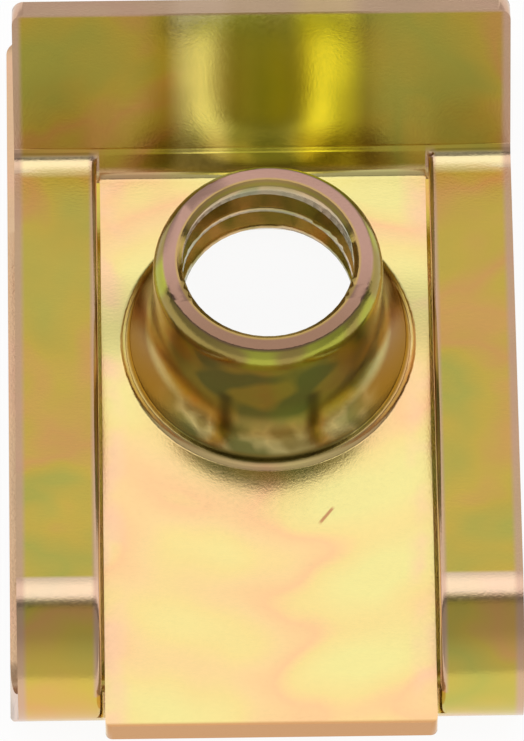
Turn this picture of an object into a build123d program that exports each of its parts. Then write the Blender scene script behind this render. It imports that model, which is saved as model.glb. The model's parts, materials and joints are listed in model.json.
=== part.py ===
from build123d import *
import os
from math import cos, radians, sin, tan

# U clip speed nut: one strip of spring steel folded into a U, with a drawn, threaded barrel.
# The lower leaf lies on the floor. The upper leaf is two side rails and a flared lead-in band;
# the tongue between the rails carries the barrel and comes out through the window in the fold.
# Origin: on the axis of the thread, at the underside of the lower leaf. +Y points at the open
# throat, -Y at the fold, +Z up the barrel. Millimetres.

# ---- driving dimensions -------------------------------------------------------------------
sheet = 0.8  # thickness of the strip

strip_side = 7.245  # +X side of the whole strip, from the thread's axis
leaf_width = 14.9  # lower leaf
leaf_reach = 11.65  # from the axis to its free end
leaf_corner = 0.45
upper_width = 14.65  # rails and lead-in band: their -X side steps in from the leaf's

fold_reach = 9.25  # from the axis to the centre of the fold
fold_radius = 2.65  # outside of the fold

rail_length = 15.0  # straight part, from the fold to the throat
rail_slope = 6.0  # degrees: the rails drop from the fold to the throat
rail_width = 2.42

band_length = 4.85  # lead-in band, from the throat to its top edge
band_slope = 60.0  # degrees from the floor
band_corner = 0.35
throat_radius = 0.25  # inside of the bend at the band's foot

tongue_top = 3.15  # top face, above the floor
tongue_proud = 0.8  # how far its free end stands out past the fold
tongue_corner = 0.2
slit = 0.1  # gap between the tongue and each rail
window_gap = 0.3  # under the tongue, where it leaves the fold

thread_minor = 5.0  # diameter at the crests of the M6 coarse thread
thread_length = 2.6  # threaded depth, from the rim
mouth = 5.3  # diameter of the countersink at the rim
rim = 6.0  # outside diameter at the rim
body = 6.7  # outside diameter of the barrel's wall
barrel_height = 4.9  # rim above the tongue
shoulder_drop = 0.75  # height of the rounded shoulder under the rim
skirt_height = 2.3  # concave skirt at the barrel's foot
skirt_foot = 8.6  # diameter where the skirt meets the tongue
skirt_draft = 29.0  # degrees: the inside of the skirt opens downwards
foot_round = 0.2  # fillet between the skirt and the tongue

slot_width = 7.6  # clearance slot in the lower leaf
slot_front = 3.8  # its two ends, from the axis
slot_back = 5.8

lanced_edge = 0.18  # rolled-over edge along the inner side of each rail

# ---- worked out from those ----------------------------------------------------------------
slope = radians(rail_slope)
lead = radians(band_slope)
rail_start = (fold_radius * sin(slope) - fold_reach, fold_radius * (1 + cos(slope)))
throat = (rail_start[0] + rail_length * cos(slope), rail_start[1] - rail_length * sin(slope))
band_top = (throat[0] + band_length * cos(lead), throat[1] + band_length * sin(lead))

leaf_side = strip_side - leaf_width
upper_side = strip_side - upper_width
window_sides = (upper_side + rail_width, strip_side - rail_width)
tongue_sides = (window_sides[0] + slit, window_sides[1] - slit)
window_floor = tongue_top - sheet - window_gap
tongue_tip = -(fold_reach + fold_radius + tongue_proud)
rim_level = tongue_top + barrel_height
thread_end = rim_level - thread_length
past = 2.0  # how far a cutting shape runs past what it cuts
near = 0.01  # edges this near to a place are taken as being there


def band_face(z):
    """Y at the height z on the plane of the lead-in band's front face."""
    return throat[0] + (z - throat[1]) / tan(lead)


def along(x):
    """Picks the edges that run along the strip at one X."""
    return lambda edge: all(abs(vertex.X - x) < near for vertex in edge.vertices())


def outside(edge):
    """True for an edge on the outside face of the strip, from the lower leaf to the band."""
    middle = edge @ 0.5
    return outer_line.line.distance_to(Vertex(middle.Y, middle.Z)) < near


def through_sheet(edge):
    """True for a short straight edge from one face of the sheet to the other."""
    return edge.geom_type == GeomType.LINE and abs(edge.length - sheet) < near


def beyond_throat(edge):
    """True for an edge on the open side of the throat, away from the barrel."""
    return (edge @ 0.5).Y > throat[0]


# outside of the bent strip in side view, as (Y, Z): lower leaf, fold, rails, lead-in band
with BuildLine() as outer_line:
    underside = Line((leaf_reach, 0), (-fold_reach, 0))
    fold = CenterArc((-fold_reach, fold_radius), fold_radius, 270, -(180 + rail_slope))
    FilletPolyline(fold @ 1, throat, band_top, radius=throat_radius)

with BuildPart() as u_nut:
    # ---- bent strip -----------------------------------------------------------------------
    with BuildSketch(Plane.YZ):
        with BuildLine():
            add(outer_line.line)
            offset(amount=sheet, side=Side.RIGHT)
        make_face()
    extrude(amount=leaf_width, both=True)

    # sides: on -X the step from the lower leaf to the rails runs out in the fold
    with BuildSketch(Plane.XZ):
        with BuildLine():
            Polyline(
                (leaf_side, 0),
                (strip_side, 0),
                (strip_side, band_top[1] + past),
                (upper_side, band_top[1] + past),
                (upper_side, window_floor),
                (leaf_side, sheet),
                close=True,
            )
        make_face()
    extrude(amount=2 * leaf_reach, both=True, mode=Mode.INTERSECT)

    # ---- window between the rails, from the band's foot out through the fold ---------------
    with BuildSketch(Plane.YZ.offset(window_sides[0])):
        with BuildLine():
            Polyline(
                (tongue_tip - past, window_floor),
                (band_face(window_floor), window_floor),
                (band_face(rim_level), rim_level),
                (tongue_tip - past, rim_level),
                close=True,
            )
        make_face()
    extrude(amount=window_sides[1] - window_sides[0], mode=Mode.SUBTRACT)

    # ---- tongue, level with the floor, bent up into the band at its root -------------------
    with BuildSketch(Plane.YZ.offset(tongue_sides[0])):
        with BuildLine():
            FilletPolyline(
                (tongue_tip, tongue_top),
                (band_face(tongue_top), tongue_top),
                band_top,
                radius=throat_radius,
            )
            offset(amount=sheet, side=Side.RIGHT)
        make_face()
    extrude(amount=tongue_sides[1] - tongue_sides[0])

    # ---- barrel: skirt, wall and rounded shoulder, drawn up out of the tongue --------------
    with BuildSketch(Plane.XZ):
        with BuildLine():
            foot = (skirt_foot / 2, tongue_top)
            wall_foot = (body / 2, tongue_top + skirt_height)
            shoulder = (body / 2, rim_level - shoulder_drop)
            TangentArc(wall_foot, foot, tangent=(0, -1))
            Line(wall_foot, shoulder)
            TangentArc(shoulder, (rim / 2, rim_level), tangent=(0, 1))
            Polyline(
                (rim / 2, rim_level),
                (0, rim_level),
                (0, tongue_top - sheet / 2),
                (skirt_foot / 2, tongue_top - sheet / 2),
                foot,
            )
        make_face()
    revolve(axis=Axis.Z)

    skirt_edge = u_nut.edges().filter_by(GeomType.CIRCLE).filter_by(
        lambda edge: abs(edge.radius - skirt_foot / 2) < near
        and abs(edge.arc_center.Z - tongue_top) < near
    )
    fillet(skirt_edge, radius=foot_round)

    # bore: countersunk mouth, thread at its minor diameter, skirt open downwards
    with BuildSketch(Plane.XZ):
        with BuildLine():
            minor = thread_minor / 2
            drop = thread_end - tongue_top + sheet
            Polyline(
                (0, rim_level),
                (mouth / 2, rim_level),
                (minor, rim_level - (mouth / 2 - minor)),
                (minor, thread_end),
                (minor + drop * tan(radians(skirt_draft)), thread_end - drop),
                (0, thread_end - drop),
                close=True,
            )
        make_face()
    revolve(axis=Axis.Z, mode=Mode.SUBTRACT)

    # ---- clearance slot for the screw, in the lower leaf -----------------------------------
    with BuildSketch():
        with Locations((0, (slot_back - slot_front) / 2)):
            SlotOverall(slot_front + slot_back, slot_width, rotation=90)
    extrude(amount=sheet, mode=Mode.SUBTRACT)

    # ---- corners and lanced edges -----------------------------------------------------------
    fillet(u_nut.edges().filter_by(Axis.Z).group_by(Axis.Y)[-1], radius=leaf_corner)
    fillet(u_nut.edges().filter_by(Axis.Z).group_by(Axis.Y)[0], radius=tongue_corner)
    band_ends = u_nut.edges().filter_by(through_sheet).filter_by(beyond_throat)
    fillet(band_ends.group_by(Axis.Z)[-1], radius=band_corner)

    for side in window_sides:
        lanced = u_nut.edges().filter_by(along(side)).filter_by(outside)
        fillet(lanced.sort_by(SortBy.LENGTH)[-2:], radius=lanced_edge)

u_nut.part.label = "u_nut"
os.makedirs("parts", exist_ok=True)
export_step(u_nut.part, "parts/u_nut.step")
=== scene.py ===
import json
import math

import bmesh
import bpy
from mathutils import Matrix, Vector


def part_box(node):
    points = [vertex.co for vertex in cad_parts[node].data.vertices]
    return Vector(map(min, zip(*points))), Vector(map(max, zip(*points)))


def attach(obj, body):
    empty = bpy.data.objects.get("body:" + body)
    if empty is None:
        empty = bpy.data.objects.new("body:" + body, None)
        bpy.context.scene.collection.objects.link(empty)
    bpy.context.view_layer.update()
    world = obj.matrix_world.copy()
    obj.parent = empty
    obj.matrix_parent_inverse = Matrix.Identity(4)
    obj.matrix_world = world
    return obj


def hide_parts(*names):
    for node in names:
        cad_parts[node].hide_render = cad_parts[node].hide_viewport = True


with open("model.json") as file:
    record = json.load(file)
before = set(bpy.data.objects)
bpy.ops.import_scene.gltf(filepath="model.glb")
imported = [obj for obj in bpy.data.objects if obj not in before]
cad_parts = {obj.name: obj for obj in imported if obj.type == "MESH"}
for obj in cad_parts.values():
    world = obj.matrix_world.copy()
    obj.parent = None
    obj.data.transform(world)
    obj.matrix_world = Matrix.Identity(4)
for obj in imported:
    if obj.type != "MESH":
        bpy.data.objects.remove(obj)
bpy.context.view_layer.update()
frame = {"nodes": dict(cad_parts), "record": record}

MM = 0.001

# ---- places and sizes, from the frame -----------------------------------------------------
cad = frame["nodes"]["u_nut"]
low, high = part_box("u_nut")
RIM_LEVEL = high.z
TIP = low.y / MM  # Y of the tongue's free end, in millimetres
thread_mount = {mount["name"]: mount for mount in frame["record"]["mounts"]}["thread"]
AXIS_X, AXIS_Y, THREAD_MIDDLE = thread_mount["pos_m"]
CREST_RADIUS = thread_mount["dims"]["r_mm"] * MM
THREAD_LENGTH = thread_mount["dims"]["length_mm"] * MM

TONGUE_MIDDLE = (low.x + high.x) / 2 + 0.12 * MM  # X of the tongue's middle line, to 0.01 mm

# ---- places and sizes that the frame doesn't hold: part.py's own, and ones that follow them -
TONGUE_TOP = 3.15 * MM  # top face of the tongue, above the floor
RAIL_INNER = 4.86 * MM  # the rails lie further out than this from the tongue's middle line
RAIL_SLOPE = math.radians(6)
BAND_SLOPE = math.radians(60)
BAND_LENGTH = 4.85  # millimetres
BAND_FOOT = 6.023  # Y of the corner of the rails' top and the band's front, in millimetres
FOOT_LEVEL = 3.717 * MM  # height of that corner
FOLD_START = -8.97  # Y where the rails start to bend into the fold, in millimetres

# ---- sizes of what this script adds --------------------------------------------------------
EDGE_ROUND = 0.14 * MM  # how far a sheared edge is rolled over
SHARP_ANGLE = math.radians(35)  # edges sharper than this are rolled over, or kept crisp
FLAT_ANGLE = math.radians(0.4)  # faces that meet at less than this are joined up
RAIL_REACH = 0.64 * MM  # how far the bend at the throat runs back along the rail
BAND_REACH = 0.30 * MM  # and up the band, where it turns faster
BEND_STRIPS = 8
CAD_BEND = 0.3 * MM  # the CAD solid's own bend lies within this of the corner
NEAR = 0.02 * MM  # a point this near to a face is taken as being on it

PITCH = 1.0 * MM  # M6 coarse
THREAD_DEPTH = 0.40 * MM
GROOVE = 0.48 * PITCH  # half the cutting ridge's width at its foot, inside the crests
ROOT = 0.05 * PITCH  # half its width at the root
RIDGE_FOOT = 0.20 * MM  # how far inside the crests the ridge's foot lies
FADED_OUT = 0.10 * MM  # how far inside the crests its top lies where the thread runs out
LOWER_END = 0.10 * PITCH  # the ridge stops this far inside each end of the thread
UPPER_END = 0.12 * PITCH
STEPS_A_TURN = 96
FADE_TURNS = 0.6
FIRST_TURN = -0.6 * math.pi  # where round the axis the ridge starts


# ---- mesh: the CAD solid with rolled edges and a cut thread --------------------------------
def linked(name, mesh):
    """A new object in the scene."""
    made = bpy.data.objects.new(name, mesh)
    bpy.context.scene.collection.objects.link(made)
    return made


def cut_across(work, place, way):
    """Adds an edge wherever a plane crosses the mesh."""
    bmesh.ops.bisect_plane(
        work, geom=work.verts[:] + work.edges[:] + work.faces[:], dist=1e-8,
        plane_co=place, plane_no=way,
    )


def ease_throat(work):
    """Rounds the inside of the bend where the rails rise into the band, as the press leaves it:
    cuts the faces there into strips and draws their edges in onto one parabola."""
    rail = Vector((0, math.cos(RAIL_SLOPE), -math.sin(RAIL_SLOPE)))
    band = Vector((0, math.cos(BAND_SLOPE), math.sin(BAND_SLOPE)))
    corner = Vector((0, BAND_FOOT * MM, FOOT_LEVEL))
    skew = rail.dot(band)
    for side in (-1, 1):
        cut_across(work, (TONGUE_MIDDLE + side * RAIL_INNER, 0, 0), (1, 0, 0))
    for k in range(1, BEND_STRIPS + 1):
        for way, reach in ((-rail, RAIL_REACH), (band, BAND_REACH)):
            cut_across(work, corner + way * reach * k / BEND_STRIPS, way)
    for vert in work.verts:
        if abs(vert.co.x - TONGUE_MIDDLE) < RAIL_INNER + NEAR / 2:
            continue
        away = Vector((0, vert.co.y, vert.co.z)) - corner
        back = (skew * away.dot(band) - away.dot(rail)) / (1 - skew ** 2)
        up = (away.dot(band) - skew * away.dot(rail)) / (1 - skew ** 2)
        on_face = min(abs(back), abs(up)) < NEAR or away.length < CAD_BEND
        if on_face and -NEAR < back < RAIL_REACH and -NEAR < up < BAND_REACH:
            share = min(1.0, max(0.0, (1 - back / RAIL_REACH + up / BAND_REACH) / 2))
            moved = corner - rail * RAIL_REACH * (1 - share) ** 2 + band * BAND_REACH * share ** 2
            vert.co.y = moved.y
            vert.co.z = moved.z


def at_rim(edge):
    """True for an edge of the barrel's rim or bore, which the tap leaves crisp."""
    middle = (edge.verts[0].co + edge.verts[1].co) / 2
    from_axis = math.hypot(middle.x - AXIS_X, middle.y - AXIS_Y)
    return from_axis < CREST_RADIUS + 1.0 * MM and middle.z > TONGUE_TOP + 1.0 * MM


def rounded_copy(source, name):
    """A copy of the CAD mesh with its flat faces joined up and its sharp edges rolled over."""
    mesh = bpy.data.meshes.new(name)
    work = bmesh.new()
    work.from_mesh(source.data)
    bmesh.ops.remove_doubles(work, verts=work.verts, dist=1e-7)
    bmesh.ops.dissolve_limit(work, angle_limit=FLAT_ANGLE, verts=work.verts, edges=work.edges)
    ease_throat(work)
    sharp = [
        edge for edge in work.edges
        if edge.is_manifold and edge.calc_face_angle(0) > SHARP_ANGLE and not at_rim(edge)
    ]
    bmesh.ops.bevel(
        work, geom=sharp, offset=EDGE_ROUND, offset_type="OFFSET", segments=3, profile=0.5,
        affect="EDGES", clamp_overlap=True,
    )
    work.to_mesh(mesh)
    work.free()
    return linked(name, mesh)


def thread_cutter():
    """A closed V-shaped ridge wound right-handed round the thread's axis, to cut the groove.
    It fades in at its lower end and out at its upper end."""
    bottom = THREAD_MIDDLE - THREAD_LENGTH / 2 + LOWER_END
    top = THREAD_MIDDLE + THREAD_LENGTH / 2 - UPPER_END
    steps = round((top - bottom) / PITCH * STEPS_A_TURN)
    fade = STEPS_A_TURN * FADE_TURNS
    inside = CREST_RADIUS - RIDGE_FOOT
    work = bmesh.new()
    rings = []
    for step in range(steps + 1):
        turn = 2 * math.pi * step / STEPS_A_TURN + FIRST_TURN
        level = bottom + PITCH * step / STEPS_A_TURN
        share = min(1.0, step / fade, (steps - step) / fade)
        root = CREST_RADIUS - FADED_OUT + (THREAD_DEPTH + FADED_OUT) * share
        profile = ((inside, -GROOVE), (root, -ROOT), (root, ROOT), (inside, GROOVE))
        rings.append([
            work.verts.new((
                AXIS_X + radius * math.cos(turn), AXIS_Y + radius * math.sin(turn), level + rise
            ))
            for radius, rise in profile
        ])
    count = len(rings[0])
    for lower, upper in zip(rings, rings[1:]):
        for k in range(count):
            work.faces.new((lower[k], lower[(k + 1) % count], upper[(k + 1) % count], upper[k]))
    work.faces.new(list(reversed(rings[0])))
    work.faces.new(rings[-1])
    bmesh.ops.recalc_face_normals(work, faces=work.faces)
    mesh = bpy.data.meshes.new("thread_cutter")
    work.to_mesh(mesh)
    work.free()
    return linked("thread_cutter", mesh)


def apply_modifiers(piece):
    """Bakes a piece's modifiers into its mesh."""
    ready = piece.evaluated_get(bpy.context.evaluated_depsgraph_get())
    mesh = bpy.data.meshes.new_from_object(ready)
    piece.modifiers.clear()
    piece.data = mesh


def cut_thread(piece):
    cutter = thread_cutter()
    cut = piece.modifiers.new("thread", "BOOLEAN")
    cut.operation = "DIFFERENCE"
    cut.solver = "EXACT"
    cut.object = cutter
    apply_modifiers(piece)
    bpy.data.objects.remove(cutter)


def smooth(piece):
    """Smooth shading that keeps the flat faces flat and the thread's edges crisp."""
    for face in piece.data.polygons:
        face.use_smooth = True
    piece.data.set_sharp_from_angle(angle=SHARP_ANGLE)
    weighted = piece.modifiers.new("flat_faces", "WEIGHTED_NORMAL")
    weighted.mode = "FACE_AREA"
    weighted.weight = 100
    weighted.keep_sharp = True
    apply_modifiers(piece)


nut = rounded_copy(cad, "u_nut_plated")
cut_thread(nut)
smooth(nut)


# ---- shader nodes --------------------------------------------------------------------------
class Nodes:
    """Short ways to add and join shader nodes."""

    def __init__(self, tree):
        self.tree = tree

    def add(self, kind, **settings):
        node = self.tree.nodes.new(kind)
        for key, value in settings.items():
            setattr(node, key, value)
        return node

    def put(self, socket, value):
        if isinstance(value, bpy.types.NodeSocket):
            self.tree.links.new(value, socket)
        else:
            socket.default_value = value

    def math(self, operation, *values):
        node = self.add("ShaderNodeMath", operation=operation)
        for socket, value in zip(node.inputs, values):
            self.put(socket, value)
        return node.outputs[0]

    def step(self, value, start, end):
        """0 at start, 1 at end, smooth between; start may be the larger."""
        node = self.add("ShaderNodeMapRange", interpolation_type="SMOOTHSTEP")
        self.put(node.inputs["Value"], value)
        node.inputs["From Min"].default_value = start
        node.inputs["From Max"].default_value = end
        return node.outputs["Result"]

    def away_from(self, value, middle):
        """How far a value is from a middle one, either way."""
        return self.math("ABSOLUTE", self.math("SUBTRACT", value, middle))

    def noise(self, place, scale, detail=2.0, roughness=0.5, distortion=0.0):
        node = self.add("ShaderNodeTexNoise")
        self.put(node.inputs["Vector"], place)
        node.inputs["Scale"].default_value = scale
        node.inputs["Detail"].default_value = detail
        node.inputs["Roughness"].default_value = roughness
        node.inputs["Distortion"].default_value = distortion
        return node.outputs["Fac"]

    def ramp(self, value, stops):
        node = self.add("ShaderNodeValToRGB")
        self.put(node.inputs["Fac"], value)
        elements = node.color_ramp.elements
        while len(elements) < len(stops):
            elements.new(1.0)
        for element, (position, colour) in zip(elements, stops):
            element.position = position
            element.color = (*colour, 1.0)
        return node.outputs["Color"]

    def mix(self, share, a, b, blend="MIX"):
        """Mixes two colours, each an output or three numbers."""
        node = self.add("ShaderNodeMix", data_type="RGBA", blend_type=blend)
        self.put(node.inputs["Factor"], share)
        for name, value in (("A", a), ("B", b)):
            self.put(node.inputs[name], (*value, 1.0) if isinstance(value, tuple) else value)
        return node.outputs["Result"]

    def both(self, *masks):
        """The product of masks."""
        found = masks[0]
        for mask in masks[1:]:
            found = self.math("MULTIPLY", found, mask)
        return found

    def paint(self, under, over, *masks):
        """Lays one colour over another where all the masks are 1."""
        return self.mix(self.both(*masks), under, over)


# ---- material: yellow-passivated zinc, with places in millimetres ---------------------------
GOLD = (0.69, 0.50, 0.09)
GREEN = (0.54, 0.49, 0.10)
ORANGE = (0.76, 0.43, 0.13)
# tint of the band: darker, as painted shade, and more golden
BAND_SHADE_TINT = (0.78, 0.76, 0.60)

# colours of the tongue: paler than the rails', partly as a painted highlight
CREAM = (0.86, 0.67, 0.27)
WARM = (0.88, 0.62, 0.29)
BLUSH = (0.90, 0.56, 0.28)
LEMON = (0.83, 0.73, 0.29)
EDGE_BLUSH = (0.90, 0.56, 0.36)
SCRATCH = (0.45, 0.16, 0.08)

# painted highlights where the rails are bent, at the fold and the throat
FOLD_HIGHLIGHT = (0.95, 0.70, 0.55)
THROAT_HIGHLIGHT = (1.0, 0.85, 0.52)
MAUVE = (0.66, 0.42, 0.31)
TIP_BROWN = (0.62, 0.33, 0.14)

# the skirt's darker amber sides, a painted shade
AMBER_SIDE_SHADE = (0.33, 0.16, 0.015)
SKIRT_TONES = ((0.40, (0.24, 0.22, 0.06)), (0.52, (0.58, 0.46, 0.17)), (0.62, (0.34, 0.25, 0.07)))
# a painted dark reflection near the foot of the skirt, in front
FOOT_REFLECTION = (0.22, 0.15, 0.03)
# a bright yellow painted highlight over the whole wall
WALL_HIGHLIGHT = (1.0, 0.92, 0.40)
# tones of the wall's front: they vary at random, and are darker than the rest of the wall as painted
# shade; UMBER also colours the mouth
MOSS = (0.46, 0.42, 0.10)
BOTTLE = (0.22, 0.27, 0.10)
UMBER = (0.52, 0.36, 0.09)
# painted dark reflections: two dark streaks on the wall's front
DARK_WALL_REFLECTION = (0.08, 0.07, 0.02)
LIME = (0.42, 0.42, 0.06)
SHOULDER_BROWN = (0.34, 0.25, 0.07)
# the rim darker in front, as painted shade
RIM_FRONT_SHADE = (0.30, 0.17, 0.11)
RIM = (0.46, 0.27, 0.21)
BORE_SHADE = (0.34, 0.30, 0.10)
THREAD = (0.62, 0.42, 0.20)

# edges that bound the colours: heights, distances from the middle line, radii round the axis
LEAF_TOP = 0.80
TONGUE_SIDE = 4.80
STRIP_SIDE = 7.20
SKIRT_FOOT = 4.30
RIM_EDGE = 3.00
MOUTH = 2.65

# painted reflections on the band, as lengthwise streaks: middle in X, half their width, colour,
# strength
BAND_REFLECTIONS = (
    (0.0, 2.6, (0.62, 0.60, 0.16), 0.80),
    (1.85, 1.25, (1.0, 0.88, 0.08), 0.95),
    (-1.85, 1.15, (1.0, 0.90, 0.50), 0.80),
)
# the two dark streaks on the wall are painted dark reflections
WALL_STREAK_SIDE = 1.28  # distance of the barrel's two dark streaks from the middle, in X
SCRATCH_PLACE = (1.62, -5.85)
SCRATCH_TURN = math.radians(52)
RING_TURN = 2.4  # radians of the tongue's rings of blush in a millimetre
RING_STRENGTH = 0.04
DISH = 0.20  # how far the tongue looks to rise towards the barrel
WAVES = 0.03  # height of the slow waves of the rolled strip
LEAST_BLUR = 0.12  # roughness of the plate
MOST_BLUR = 0.26


class Coat:
    """The plated coat: its colour is laid on from the general bloom to the small marks, with painted
    highlights, reflections and shade among them.
    """

    def __init__(self, tree):
        self.n = n = Nodes(tree)
        scaled = n.add("ShaderNodeVectorMath", operation="SCALE")
        n.put(scaled.inputs[0], n.add("ShaderNodeTexCoord").outputs["Object"])
        scaled.inputs["Scale"].default_value = 1 / MM
        self.place = scaled.outputs["Vector"]
        split = n.add("ShaderNodeSeparateXYZ")
        n.put(split.inputs[0], self.place)
        self.x, self.y, self.z = split.outputs
        self.from_axis = n.math(
            "SQRT",
            n.math("ADD", n.math("MULTIPLY", self.x, self.x), n.math("MULTIPLY", self.y, self.y)),
        )
        self.sideways = n.away_from(self.x, TONGUE_MIDDLE / MM)
        self.upper_leaf = n.step(self.z, LEAF_TOP + 0.2, LEAF_TOP + 0.5)
        self.on_rails = n.both(self.beside_tongue(0.0, 0.04), self.upper_leaf)
        # the band's colour starts a little further up on the rails than behind the tongue
        band_start = n.math("MULTIPLY_ADD", self.on_rails, 0.30, BAND_FOOT - 0.38)
        past_start = n.step(n.math("SUBTRACT", self.y, band_start), 0.0, 0.08)
        self.on_band = n.both(past_start, self.upper_leaf)
        self.on_tongue = n.both(
            self.beside_tongue(0.10, 0.02), self.above_tongue(0.30, 0.12), self.upper_leaf
        )

    def beside_tongue(self, start, end):
        """A step in the distance out past the tongue's side."""
        return self.n.step(self.sideways, TONGUE_SIDE + start, TONGUE_SIDE + end)

    def round_axis(self, radius, start, end):
        """A step in the distance from the thread's axis, measured out from a radius."""
        return self.n.step(self.from_axis, radius + start, radius + end)

    def above_tongue(self, start, end):
        """A step in height, measured from the tongue's top."""
        return self.n.step(self.z, TONGUE_TOP / MM + start, TONGUE_TOP / MM + end)

    def below_rim(self, start, end):
        """A step in height, measured down from the barrel's rim."""
        return self.n.step(self.z, RIM_LEVEL / MM - start, RIM_LEVEL / MM - end)

    def along(self, origin, start, end):
        """A step in Y, measured from an origin."""
        return self.n.step(self.y, origin + start, origin + end)

    def bloom(self):
        """Bloom of the coat on the rails and the band: its colour follows its thickness. On the band
        it carries painted reflections and a painted shade tint.
        """
        n = self.n
        film = n.noise(self.place, 0.17, detail=3.0, roughness=0.45, distortion=0.3)
        bloom = n.ramp(film, [
            (0.30, GREEN), (0.42, GOLD), (0.485, ORANGE), (0.53, GOLD), (0.60, GREEN), (0.72, GOLD),
        ])
        # the band is tinted darker, as painted shade, and more golden
        colour = n.paint(bloom, n.mix(1.0, bloom, BAND_SHADE_TINT, blend="MULTIPLY"), self.on_band)
        # painted reflections of the barrel on the band, as three lengthwise streaks, dark in the
        # middle
        for middle, reach, tone, strength in BAND_REFLECTIONS:
            inside = n.step(n.away_from(self.x, middle), reach, reach * 0.35)
            colour = n.paint(colour, tone, self.on_band, inside, strength)
        return colour

    def scratch(self):
        """Mask of a short scratch across the tongue."""
        n = self.n
        right = n.math("SUBTRACT", self.x, SCRATCH_PLACE[0])
        up = n.math("SUBTRACT", self.y, SCRATCH_PLACE[1])
        run, rise = math.cos(SCRATCH_TURN), math.sin(SCRATCH_TURN)
        lengthwise = n.math("ADD", n.math("MULTIPLY", right, run), n.math("MULTIPLY", up, rise))
        across = n.math("SUBTRACT", n.math("MULTIPLY", up, run), n.math("MULTIPLY", right, rise))
        inside = n.step(n.math("ABSOLUTE", lengthwise), 0.40, 0.22)
        return n.both(inside, n.step(n.math("ABSOLUTE", across), 0.07, 0.02))

    def tongue(self, colour):
        """The tongue is paler, partly as a painted highlight, with rings of blush round the barrel.
        """
        n = self.n
        waves = n.math("SINE", n.math("MULTIPLY", self.from_axis, RING_TURN))
        rings = n.math("MULTIPLY", waves, RING_STRENGTH)
        film = n.math("ADD", n.noise(self.place, 0.13, detail=3.0, roughness=0.4), rings)
        pale_and_highlight = n.ramp(film, [
            (0.32, LEMON), (0.41, CREAM), (0.47, WARM), (0.53, BLUSH), (0.58, CREAM), (0.66, LEMON),
        ])
        # the tongue's colour, paler partly as a painted highlight
        colour = n.paint(colour, pale_and_highlight, self.on_tongue)
        ragged = n.step(n.noise(self.place, 0.5, detail=2.0), 0.40, 0.60)
        edge = n.both(ragged, self.beside_tongue(-0.9, -0.2))
        colour = n.paint(colour, EDGE_BLUSH, self.on_tongue, edge, 0.7)
        return n.paint(colour, SCRATCH, self.on_tongue, self.scratch(), 0.8)

    def bend_highlights(self, colour):
        """Painted highlights where the rails are bent: pinker at the fold, paler at the throat."""
        n = self.n
        # painted highlights across the rails at the fold and the throat
        fold = n.both(self.along(FOLD_START, -0.95, -0.55), self.along(FOLD_START, 0.12, -0.02))
        colour = n.paint(colour, FOLD_HIGHLIGHT, self.on_rails, fold, 0.75)
        throat = n.both(self.along(BAND_FOOT, -0.85, -0.60), self.along(BAND_FOOT, -0.02, -0.14))
        return n.paint(colour, THROAT_HIGHLIGHT, self.on_rails, throat, 0.75)

    def edges(self, colour):
        """Sheared and lanced edges are brown-mauve, with less plate on them."""
        n = self.n
        inner_side = self.beside_tongue(0.38, 0.22)
        lanced = n.both(inner_side, self.on_rails, self.above_tongue(0.1, 0.2))
        off_band = self.along(BAND_FOOT, 0.1, -0.2)
        colour = n.paint(colour, MAUVE, lanced, off_band, 0.85)
        colour = n.paint(colour, MAUVE, n.step(self.sideways, STRIP_SIDE - 0.20, STRIP_SIDE), 0.8)
        colour = n.paint(colour, TIP_BROWN, self.along(TIP, 0.14, 0.03))
        run, rise = math.cos(BAND_SLOPE), math.sin(BAND_SLOPE)
        up_band = n.math("ADD", n.math("MULTIPLY", self.y, run), n.math("MULTIPLY", self.z, rise))
        band_end = BAND_FOOT * run + FOOT_LEVEL / MM * rise + BAND_LENGTH
        top_edge = n.step(up_band, band_end - 0.16, band_end - 0.06)
        return n.paint(colour, MAUVE, top_edge, self.on_band, 0.8)

    def barrel(self, colour):
        """Amber skirt, mossy wall, lime shoulder, mauve rim and golden-brown bore, with painted
        light: shade on the skirt's sides and on the front of wall and rim, dark reflections near the
        skirt's foot and on the wall, and a highlight over the wall.
        """
        n = self.n
        aside = n.math("DIVIDE", n.math("ABSOLUTE", self.x), self.from_axis)
        above = self.above_tongue(0.05, 0.25)
        around = self.round_axis(SKIRT_FOOT, 0.20, 0.10)
        in_front = self.along(0.0, 1.2, -0.6)

        skirt_patches = n.ramp(n.noise(self.place, 0.7, detail=2.0), SKIRT_TONES)
        # the skirt turns darker amber towards its sides, as painted shade
        skirt = n.mix(n.step(aside, 0.55, 0.90), skirt_patches, AMBER_SIDE_SHADE)
        colour = n.paint(colour, skirt, around, above)
        # painted dark reflection near the skirt's foot, in front only
        foot_reflection_ring = n.both(
            self.round_axis(SKIRT_FOOT, -0.35, -0.25), self.round_axis(SKIRT_FOOT, -0.04, -0.10)
        )
        colour = n.paint(colour, FOOT_REFLECTION, n.both(foot_reflection_ring, n.step(aside, 0.75, 0.4)), above, 0.9)

        wall = self.above_tongue(0.9, 1.7)
        # tones of the wall's front, darker than the rest of the wall as painted shade, varied at
        # random
        front_patches_and_shade = n.ramp(n.noise(self.place, 0.55, detail=1.0), [
            (0.38, BOTTLE), (0.47, MOSS), (0.55, MOSS), (0.62, UMBER),
        ])
        # the whole wall gets a painted highlight, then its front is darkened
        colour = n.paint(colour, WALL_HIGHLIGHT, around, wall)
        colour = n.paint(colour, front_patches_and_shade, around, wall, in_front)
        # two painted dark reflections, as streaks on the wall's front
        from_streak = n.away_from(n.math("ABSOLUTE", self.x), WALL_STREAK_SIDE)
        reflection_streak = n.step(from_streak, 0.34, 0.02)
        streak_height = n.both(self.above_tongue(0.7, 1.1), self.above_tongue(2.6, 2.2))
        colour = n.paint(colour, DARK_WALL_REFLECTION, around, reflection_streak, streak_height, in_front, 0.75)

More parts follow.
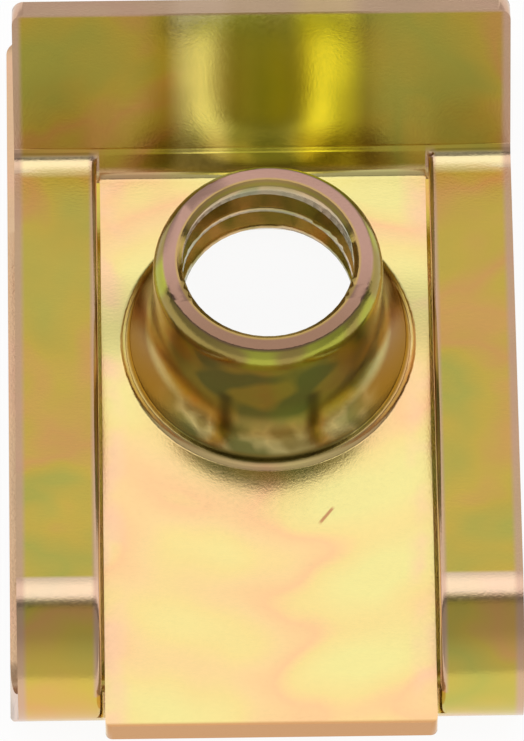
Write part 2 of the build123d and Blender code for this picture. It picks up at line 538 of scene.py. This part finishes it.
        lime_part = n.step(n.noise(self.place, 0.6, detail=1.0), 0.42, 0.58)
        shoulder = n.mix(lime_part, SHOULDER_BROWN, LIME)
        colour = n.paint(colour, shoulder, around, self.below_rim(0.95, 0.55))
        # the rim is darker towards the front, as painted shade
        rim = n.mix(self.along(0.0, -2.6, 0.5), RIM_FRONT_SHADE, RIM)
        colour = n.paint(colour, rim, around, self.below_rim(0.10, 0.01))
        colour = n.paint(colour, UMBER, self.round_axis(MOUTH, 0.09, 0.01), above, 0.7)
        bore = n.ramp(n.noise(self.place, 0.8, detail=2.0), [(0.40, BORE_SHADE), (0.60, THREAD)])
        inside = self.round_axis(RIM_EDGE, -0.02, -0.06)
        return n.paint(colour, bore, inside, above, self.below_rim(0.10, 0.16))

    def roughness(self):
        """Blur of the reflections, varied by the grain of the plate."""
        blur = self.n.add("ShaderNodeMapRange")
        grain = self.n.noise(self.place, 9.0, detail=4.0, roughness=0.6)
        self.n.put(blur.inputs["Value"], grain)
        blur.inputs["To Min"].default_value = LEAST_BLUR
        blur.inputs["To Max"].default_value = MOST_BLUR
        return blur.outputs["Result"]

    def normal(self):
        """The tongue's rise and the slow waves of the strip, then the fine grain of the plate."""
        n = self.n
        towards_barrel = n.both(
            self.round_axis(SKIRT_FOOT, 3.2, -0.3), self.on_tongue, self.along(0.0, 2.5, -1.0)
        )
        dish = n.math("MULTIPLY", towards_barrel, DISH)
        slow = n.math("MULTIPLY", n.noise(self.place, 0.35, detail=1.0), WAVES)
        waves = n.add("ShaderNodeBump")
        waves.inputs["Strength"].default_value = 1.0
        waves.inputs["Distance"].default_value = MM
        n.put(waves.inputs["Height"], n.math("ADD", dish, slow))
        fine = n.add("ShaderNodeBump")
        fine.inputs["Strength"].default_value = 0.25
        fine.inputs["Distance"].default_value = 0.01 * MM
        n.put(fine.inputs["Height"], n.noise(self.place, 14.0, detail=3.0))
        n.put(fine.inputs["Normal"], waves.outputs["Normal"])
        return fine.outputs["Normal"]


def plated_metal():
    material = bpy.data.materials.new("yellow_zinc")
    material.use_nodes = True
    shader = material.node_tree.nodes["Principled BSDF"]
    coat = Coat(material.node_tree)
    colour = coat.barrel(coat.edges(coat.bend_highlights(coat.tongue(coat.bloom()))))
    coat.n.put(shader.inputs["Base Color"], colour)
    coat.n.put(shader.inputs["Roughness"], coat.roughness())
    coat.n.put(shader.inputs["Normal"], coat.normal())
    shader.inputs["Metallic"].default_value = 1.0
    return material


metal = plated_metal()
for piece in (nut, cad):
    piece.data.materials.clear()
    piece.data.materials.append(metal)

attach(nut, "root")
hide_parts("u_nut")


# ---- floor ---------------------------------------------------------------------------------
FLOOR_RADIUS = 0.16
FLOOR_GAP = 0.01 * MM  # between the floor and the part, so that their faces don't flicker
FLOOR_TONES = ((0.3, (0.97, 0.97, 0.97)), (0.7, (0.98, 0.98, 0.98)))
FLOOR_WHITE = 0.92  # share of plain white where it is seen; the rest keeps the shadow


def floor_material():
    """A white sweep: it shows white to the camera and in the metal, and keeps part of its shadow."""
    material = bpy.data.materials.new("pale_floor")
    material.use_nodes = True
    tree = material.node_tree
    shader = tree.nodes["Principled BSDF"]
    n = Nodes(tree)
    speckle = n.noise(n.add("ShaderNodeTexCoord").outputs["Object"], 400.0, detail=2.0)
    n.put(shader.inputs["Base Color"], n.ramp(speckle, FLOOR_TONES))
    shader.inputs["Roughness"].default_value = 1.0
    shader.inputs["Specular IOR Level"].default_value = 0.0
    path = n.add("ShaderNodeLightPath").outputs
    mirrored = n.math("MAXIMUM", path["Is Glossy Ray"], path["Is Transmission Ray"])
    seen = n.math("MAXIMUM", path["Is Camera Ray"], mirrored)
    white = n.add("ShaderNodeEmission")
    white.inputs["Color"].default_value = (1.0, 1.0, 1.0, 1.0)
    blend = n.add("ShaderNodeMixShader")
    n.put(blend.inputs[0], n.math("MULTIPLY", seen, FLOOR_WHITE))
    n.put(blend.inputs[1], shader.outputs[0])
    n.put(blend.inputs[2], white.outputs[0])
    n.put(tree.nodes["Material Output"].inputs[0], blend.outputs[0])
    return material


def make_floor():
    work = bmesh.new()
    bmesh.ops.create_circle(work, cap_ends=True, segments=96, radius=FLOOR_RADIUS)
    bmesh.ops.translate(work, verts=work.verts, vec=(0, 0, low.z - FLOOR_GAP))
    mesh = bpy.data.meshes.new("floor")
    work.to_mesh(mesh)
    work.free()
    floor = linked("floor", mesh)
    floor.data.materials.append(floor_material())


make_floor()


# ---- light ---------------------------------------------------------------------------------
# brightness of the studio by how far a direction leans along Y, from the wall behind the camera
# at -1 to the one past the band at 1: a narrow dark gap parts the front from the broad light
STUDIO = (
    (-1.00, 0.55), (-0.60, 0.35), (0.00, 0.33), (0.06, 0.06), (0.15, 0.06), (0.23, 1.0),
    (0.52, 0.98), (0.63, 0.62), (0.80, 0.50), (1.00, 0.48),
)
STUDIO_STRENGTH = 1.2
PLAIN_LEVEL = 0.84  # times the strength, this lights diffuse surfaces as a plain dome of 1


def make_world():
    """A soft studio that the metal mirrors, with a plain even light for diffuse surfaces."""
    world = bpy.data.worlds.new("studio")
    world.use_nodes = True
    bpy.context.scene.world = world
    n = Nodes(world.node_tree)
    background = world.node_tree.nodes["Background"]
    way = n.add("ShaderNodeSeparateXYZ")
    n.put(way.inputs[0], n.add("ShaderNodeTexCoord").outputs["Generated"])
    forward = n.math("MULTIPLY_ADD", way.outputs[1], 0.5, 0.5)
    stops = [((lean + 1) / 2, (level, level, level)) for lean, level in STUDIO]
    studio = n.ramp(forward, stops)
    diffuse = n.add("ShaderNodeLightPath").outputs["Is Diffuse Ray"]
    plain = (PLAIN_LEVEL, PLAIN_LEVEL, PLAIN_LEVEL)
    n.put(background.inputs["Color"], n.mix(diffuse, studio, plain))
    background.inputs["Strength"].default_value = STUDIO_STRENGTH


make_world()


# ---- camera --------------------------------------------------------------------------------
FRAME_WIDTH = 15.36 * MM  # what the picture's width covers at the object
SENSOR_WIDTH = 36.0
DISTANCE = 0.40
AZIMUTH = math.radians(-0.83)
ELEVATION = math.radians(61)
AIM = Vector((-0.19, -1.0, 3.15)) * MM


def make_camera():
    data = bpy.data.cameras.new("camera")
    data.sensor_fit = "HORIZONTAL"
    data.sensor_width = SENSOR_WIDTH
    data.lens = DISTANCE * SENSOR_WIDTH / FRAME_WIDTH
    data.clip_start = 0.01
    camera = linked("camera", data)
    back = Vector((
        math.sin(AZIMUTH) * math.cos(ELEVATION),
        -math.cos(AZIMUTH) * math.cos(ELEVATION),
        math.sin(ELEVATION),
    ))
    camera.location = AIM + back * DISTANCE
    camera.rotation_euler = back.to_track_quat("Z", "Y").to_euler()
    bpy.context.scene.camera = camera


make_camera()
bpy.context.scene.view_settings.view_transform = "Standard"
